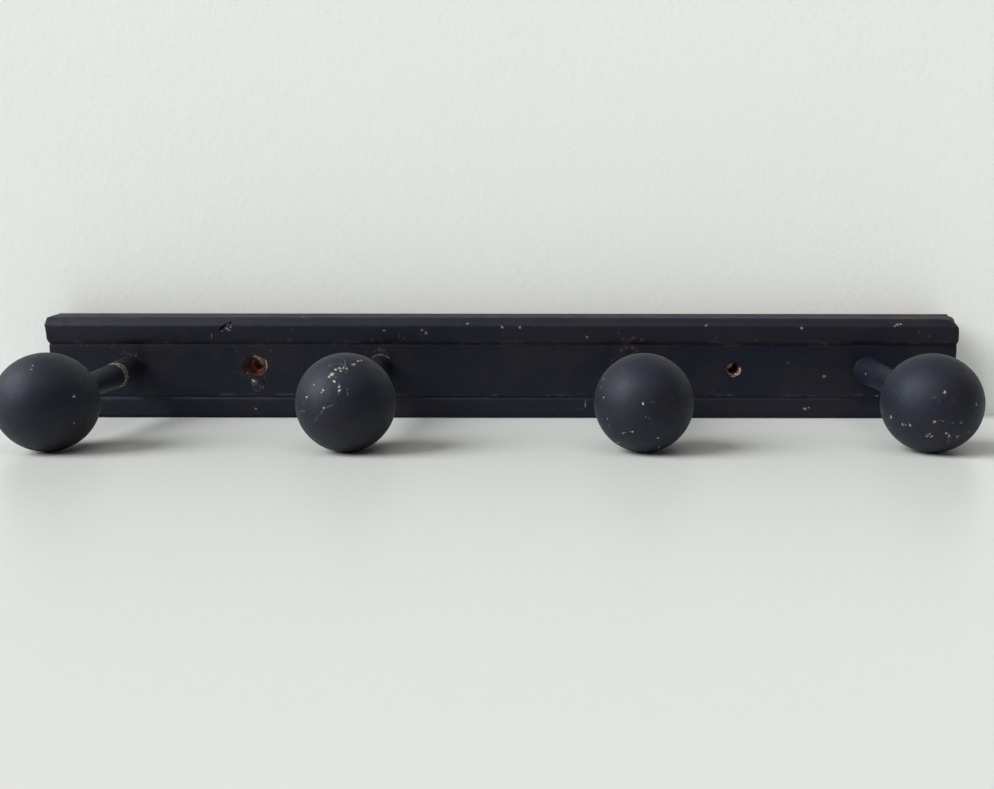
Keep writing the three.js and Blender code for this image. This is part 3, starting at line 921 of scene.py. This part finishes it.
def turned_peg(rack, index):
    """One turning from tenon to ball: half its outline, spun round the axis, with the saw cut for its wedge."""
    peg = rack.peg
    bm = bmesh.new()
    marks = [bm.verts.new((radius, 0, height)) for radius, height in peg_outline(rack)]
    for pair in zip(marks, marks[1:]):
        bm.edges.new(pair)
    hollow, back = peg.neck_diameter / 2 + peg.neck_fillet, hollow_rise(peg)
    meeting = math.atan2(back, hollow)
    last = marks[-1]
    for centre, angle, steps in (
        ((hollow, 0, peg.stand_off - back), meeting, 7),
        ((0, 0, peg.stand_off), -(meeting + math.pi / 2), 34),
    ):
        swept = bmesh.ops.spin(
            bm, geom=[last], cent=centre, axis=(0, 1, 0), angle=angle, steps=steps, use_duplicate=False, use_merge=False
        )
        last = next(item for item in swept["geom_last"] if isinstance(item, bmesh.types.BMVert))
    last.co.x = 0
    bmesh.ops.spin(
        bm, geom=list(bm.verts) + list(bm.edges), cent=(0, 0, 0), axis=(0, 0, 1), angle=2 * math.pi, steps=peg.sides,
        use_duplicate=False, use_merge=True,
    )
    bmesh.ops.remove_doubles(bm, verts=bm.verts, dist=5e-6)
    bmesh.ops.recalc_face_normals(bm, faces=bm.faces)
    bm.normal_update()
    uneven, ripple = 0.12 * MM, 15 * MM
    for vertex, normal in [(v, v.normal.copy()) for v in bm.verts]:
        if vertex.co.z > SEAT:
            vertex.co -= normal * uneven * (0.5 + 0.5 * lump(vertex.co, ripple, 17 + index * 9))
    bm = cut(bm, [wedge_blank(rack, peg.gap, 2 * MM)])
    bmesh.ops.transform(bm, matrix=peg_place(rack, index), verts=bm.verts)
    return bm


def wedge_blank(rack, gap, overrun):
    """The wedge's taper run across the tenon, along z as the peg is, grown by a gap for the saw cut."""
    peg = rack.peg
    head = peg.wedge_head / 2 + gap
    tip = peg.wedge_tip / 2 + gap
    slope = (head - tip) / peg.wedge_length
    deep = -tenon_length(rack)
    bm = bmesh.new()
    bmesh.ops.create_cube(bm, size=1)
    for vertex in bm.verts:
        at_head = vertex.co.z < 0
        vertex.co = Vector((
            math.copysign(head + slope * overrun if at_head else tip - slope * gap, vertex.co.x),
            vertex.co.y * (peg.tenon_diameter + 2 * overrun),
            deep - overrun if at_head else deep + peg.wedge_length + gap,
        ))
    return bm


class COATRACK_OT_backboard(bpy.types.Operator):
    """Mould the board, bore it for pegs, screws and plug, and paint it"""

    bl_idname = "coatrack.backboard"
    bl_label = "Backboard"

    def execute(self, context):
        rack = context.scene.coat_rack
        bm = cut(board_blank(rack.board), board_tools(rack))
        finish_piece("moulded_board", bm, board_paint(rack), "board_paint", "backboard", sharp=38)
        return {"FINISHED"}


class COATRACK_OT_pegs(bpy.types.Operator):
    """Turn the four ball pegs with their tenons and paint them"""

    bl_idname = "coatrack.pegs"
    bl_label = "Ball pegs"

    def execute(self, context):
        rack = context.scene.coat_rack
        for index, node in enumerate(PEG_NODES):
            bm = turned_peg(rack, index)
            finish_piece("turned_peg_%d" % (index + 1), bm, peg_paint(rack, index), "peg_paint", node)
        return {"FINISHED"}


class COATRACK_OT_wedges(bpy.types.Operator):
    """Split the wedges that lock the tenons from behind"""

    bl_idname = "coatrack.wedges"
    bl_label = "Wedges"

    def execute(self, context):
        rack = context.scene.coat_rack
        wood = wedge_wood(rack)
        deep = tenon_length(rack)
        for index, node in enumerate(WEDGE_NODES):
            tenon = round_bar((0, 0, -deep), deep, rack.peg.tenon_diameter / 2, 64, Vector((0, 0, 1)))
            bm = cut(wedge_blank(rack, 0, 0), [tenon], "INTERSECT")
            rims = [edge for edge in bm.edges if edge.calc_face_angle(0) > math.radians(40)]
            ease(bm, rims, 0.12 * MM, 2)
            bmesh.ops.transform(bm, matrix=peg_place(rack, index), verts=bm.verts)
            finish_piece("split_wedge_%d" % (index + 1), bm, wood, "bare_wood", node)
        return {"FINISHED"}


class COATRACK_OT_plug(bpy.types.Operator):
    """Turn the plug that fills the older hole"""

    bl_idname = "coatrack.plug"
    bl_label = "Filler plug"

    def execute(self, context):
        middle = (PLUG_LOW + PLUG_HIGH) / 2
        front = Vector((middle.x, PLUG_LOW.y + 0.05 * MM, middle.z))
        bm = round_bar(front, PLUG_HIGH.y - front.y, (PLUG_HIGH.x - PLUG_LOW.x) / 2, 48)
        rim = [edge for edge in bm.edges if all(abs(v.co.y - front.y) < 1e-6 for v in edge.verts)]
        ease(bm, rim, 0.45 * MM, 3)
        finish_piece("turned_plug", bm, plug_paint(context.scene.coat_rack), "board_paint", "filler_plug")
        return {"FINISHED"}


def lamp(name, kind, place, tint):
    """A lamp that shines on the rack from a place; returns its data, to be set up."""
    data = bpy.data.lights.new(name, kind)
    data.color = tint
    light = bpy.data.objects.new(name, data)
    bpy.context.collection.objects.link(light)
    light.location = place
    aim = Vector((0, -0.08, 0))
    light.rotation_euler = (aim - Vector(place)).to_track_quat("-Z", "Y").to_euler()
    return data


def stage_paint(name, colour, roughness, specular, bump):
    finish = Finish(name)
    tone = finish.blend(finish.cloud(160, 3.0, 0.6), tuple(c * 0.97 for c in colour), tuple(colour))
    finish.paint(Base_Color=tone, Roughness=roughness, Normal=finish.relief(finish.cloud(3.5, 4.0, 0.6) * bump))
    finish.paint(Specular_IOR_Level=specular)
    return finish


def seen_from_front(finish):
    """Clears the material away for light and from behind, so that the wall never hides or shades the back."""
    rays = (finish.node("ShaderNodeLightPath", out="Is %s Ray" % kind) for kind in ("Camera", "Glossy", "Transmission"))
    seen = reduce(Tone.most, rays) * (1 - finish.node("ShaderNodeNewGeometry", out="Backfacing"))
    clear = finish.node("ShaderNodeBsdfTransparent")
    wall = finish.node("ShaderNodeMixShader", {0: seen, 1: clear, 2: Tone(finish, finish.shader.outputs[0])})
    finish.feed(finish.tree.nodes["Material Output"].inputs["Surface"], wall)


def stage_sheet(name, start, reach, towards, finish):
    """A flat sheet drawn out from its lower or back edge, which faces a direction."""
    half_width = Vector((2.4, 0, 0))
    bm = bmesh.new()
    line = bm.edges.new([bm.verts.new(start - half_width), bm.verts.new(start + half_width)])
    grown = bmesh.ops.extrude_edge_only(bm, edges=[line])
    bmesh.ops.translate(bm, verts=[v for v in grown["geom"] if isinstance(v, bmesh.types.BMVert)], vec=reach)
    bm.normal_update()
    bmesh.ops.reverse_faces(bm, faces=[face for face in bm.faces if face.normal.dot(towards) < 0])
    sheet = loose(name, bm)
    sheet.data.materials.append(finish.material)


class COATRACK_OT_stage(bpy.types.Operator):
    """Set up the pale floor and wall, the lamps and the camera"""

    bl_idname = "coatrack.stage"
    bl_label = "Stage"

    def execute(self, context):
        scene = context.scene
        stage = scene.coat_rack.stage
        inwards = Vector((0, math.cos(stage.lean), -math.sin(stage.lean)))
        up = Vector((0, math.sin(stage.lean), math.cos(stage.lean)))
        foot = Vector((0, -scene.coat_rack.board.outer_depth, BOARD_LOW.z - 0.05 * MM))
        corner = foot + inwards * ((stage.wall_gap - foot.y) / math.cos(stage.lean))
        floor_behind, floor_length, wall_height = 1.6, 3.8, 1.6
        floor = stage_paint("pale_floor", stage.floor, roughness=0.36, specular=0.5, bump=0.01)
        stage_sheet("pale_floor", corner + inwards * floor_behind, -inwards * floor_length, up, floor)
        wall = stage_paint("pale_wall", stage.wall, roughness=0.6, specular=0.3, bump=0.18)
        seen_from_front(wall)
        stage_sheet("pale_wall", corner, up * wall_height, -inwards, wall)

        window = lamp("window", "SUN", (-1.52, -0.63, 1.18), (0.96, 0.98, 1.0))
        window.energy = stage.window_light
        window.angle = stage.window_width
        ceiling = lamp("ceiling", "AREA", (0.1, -0.9, 1.7), (1.0, 1.0, 1.0))
        ceiling.energy = stage.ceiling_power
        ceiling.shape = "RECTANGLE"
        ceiling.size, ceiling.size_y = 2.0, 1.2

        world = bpy.data.worlds.new("room")
        world.use_nodes = True
        background = world.node_tree.nodes["Background"]
        background.inputs["Color"].default_value = (1.0, 1.0, 1.0, 1)
        background.inputs["Strength"].default_value = stage.room_light
        scene.world = world

        look = Vector((0, math.cos(stage.camera_tilt), -math.sin(stage.camera_tilt)))
        right = Matrix.Rotation(-stage.camera_roll, 3, look) @ Vector((1, 0, 0))
        data = bpy.data.cameras.new("camera")
        data.sensor_fit = "HORIZONTAL"
        data.sensor_width = 36
        data.lens = stage.lens
        data.shift_x = stage.shift
        data.clip_start = 0.01
        camera = bpy.data.objects.new("camera", data)
        context.collection.objects.link(camera)
        turn = Matrix((right, right.cross(look), -look)).transposed().to_4x4()
        camera.matrix_world = Matrix.Translation(stage.camera_place) @ turn
        scene.camera = camera
        scene.view_settings.view_transform = "Standard"
        return {"FINISHED"}


class RackSettings(bpy.types.PropertyGroup):
    """Everything that can be changed on the coat rack."""

    board: PointerProperty(type=BoardSettings)
    peg: PointerProperty(type=PegSettings)
    holes: PointerProperty(type=HoleSettings)
    paint: PointerProperty(type=PaintSettings)
    stage: PointerProperty(type=StageSettings)


class COATRACK_PT_panel(bpy.types.Panel):
    """Makes the rack's pieces one by one"""

    bl_idname = "COATRACK_PT_panel"
    bl_label = "Coat Rack"
    bl_space_type = "VIEW_3D"
    bl_region_type = "UI"
    bl_category = "Coat Rack"

    def draw(self, context):
        for step in STEPS:
            self.layout.operator(step.bl_idname)


STEPS = (COATRACK_OT_backboard, COATRACK_OT_pegs, COATRACK_OT_wedges, COATRACK_OT_plug, COATRACK_OT_stage)
CLASSES = (
    UpperMoulding, LowerMoulding, BoardSettings, PegSettings, HoleSettings, PaintSettings, StageSettings, RackSettings,
    COATRACK_PT_panel, *STEPS,
)


def register():
    for cls in CLASSES:
        bpy.utils.register_class(cls)
    bpy.types.Scene.coat_rack = PointerProperty(type=RackSettings)


def unregister():
    del bpy.types.Scene.coat_rack
    for cls in reversed(CLASSES):
        bpy.utils.unregister_class(cls)


def main():
    register()
    bpy.ops.coatrack.backboard()
    bpy.ops.coatrack.pegs()
    bpy.ops.coatrack.wedges()
    bpy.ops.coatrack.plug()
    bpy.ops.coatrack.stage()


if __name__ == "__main__":
    main()
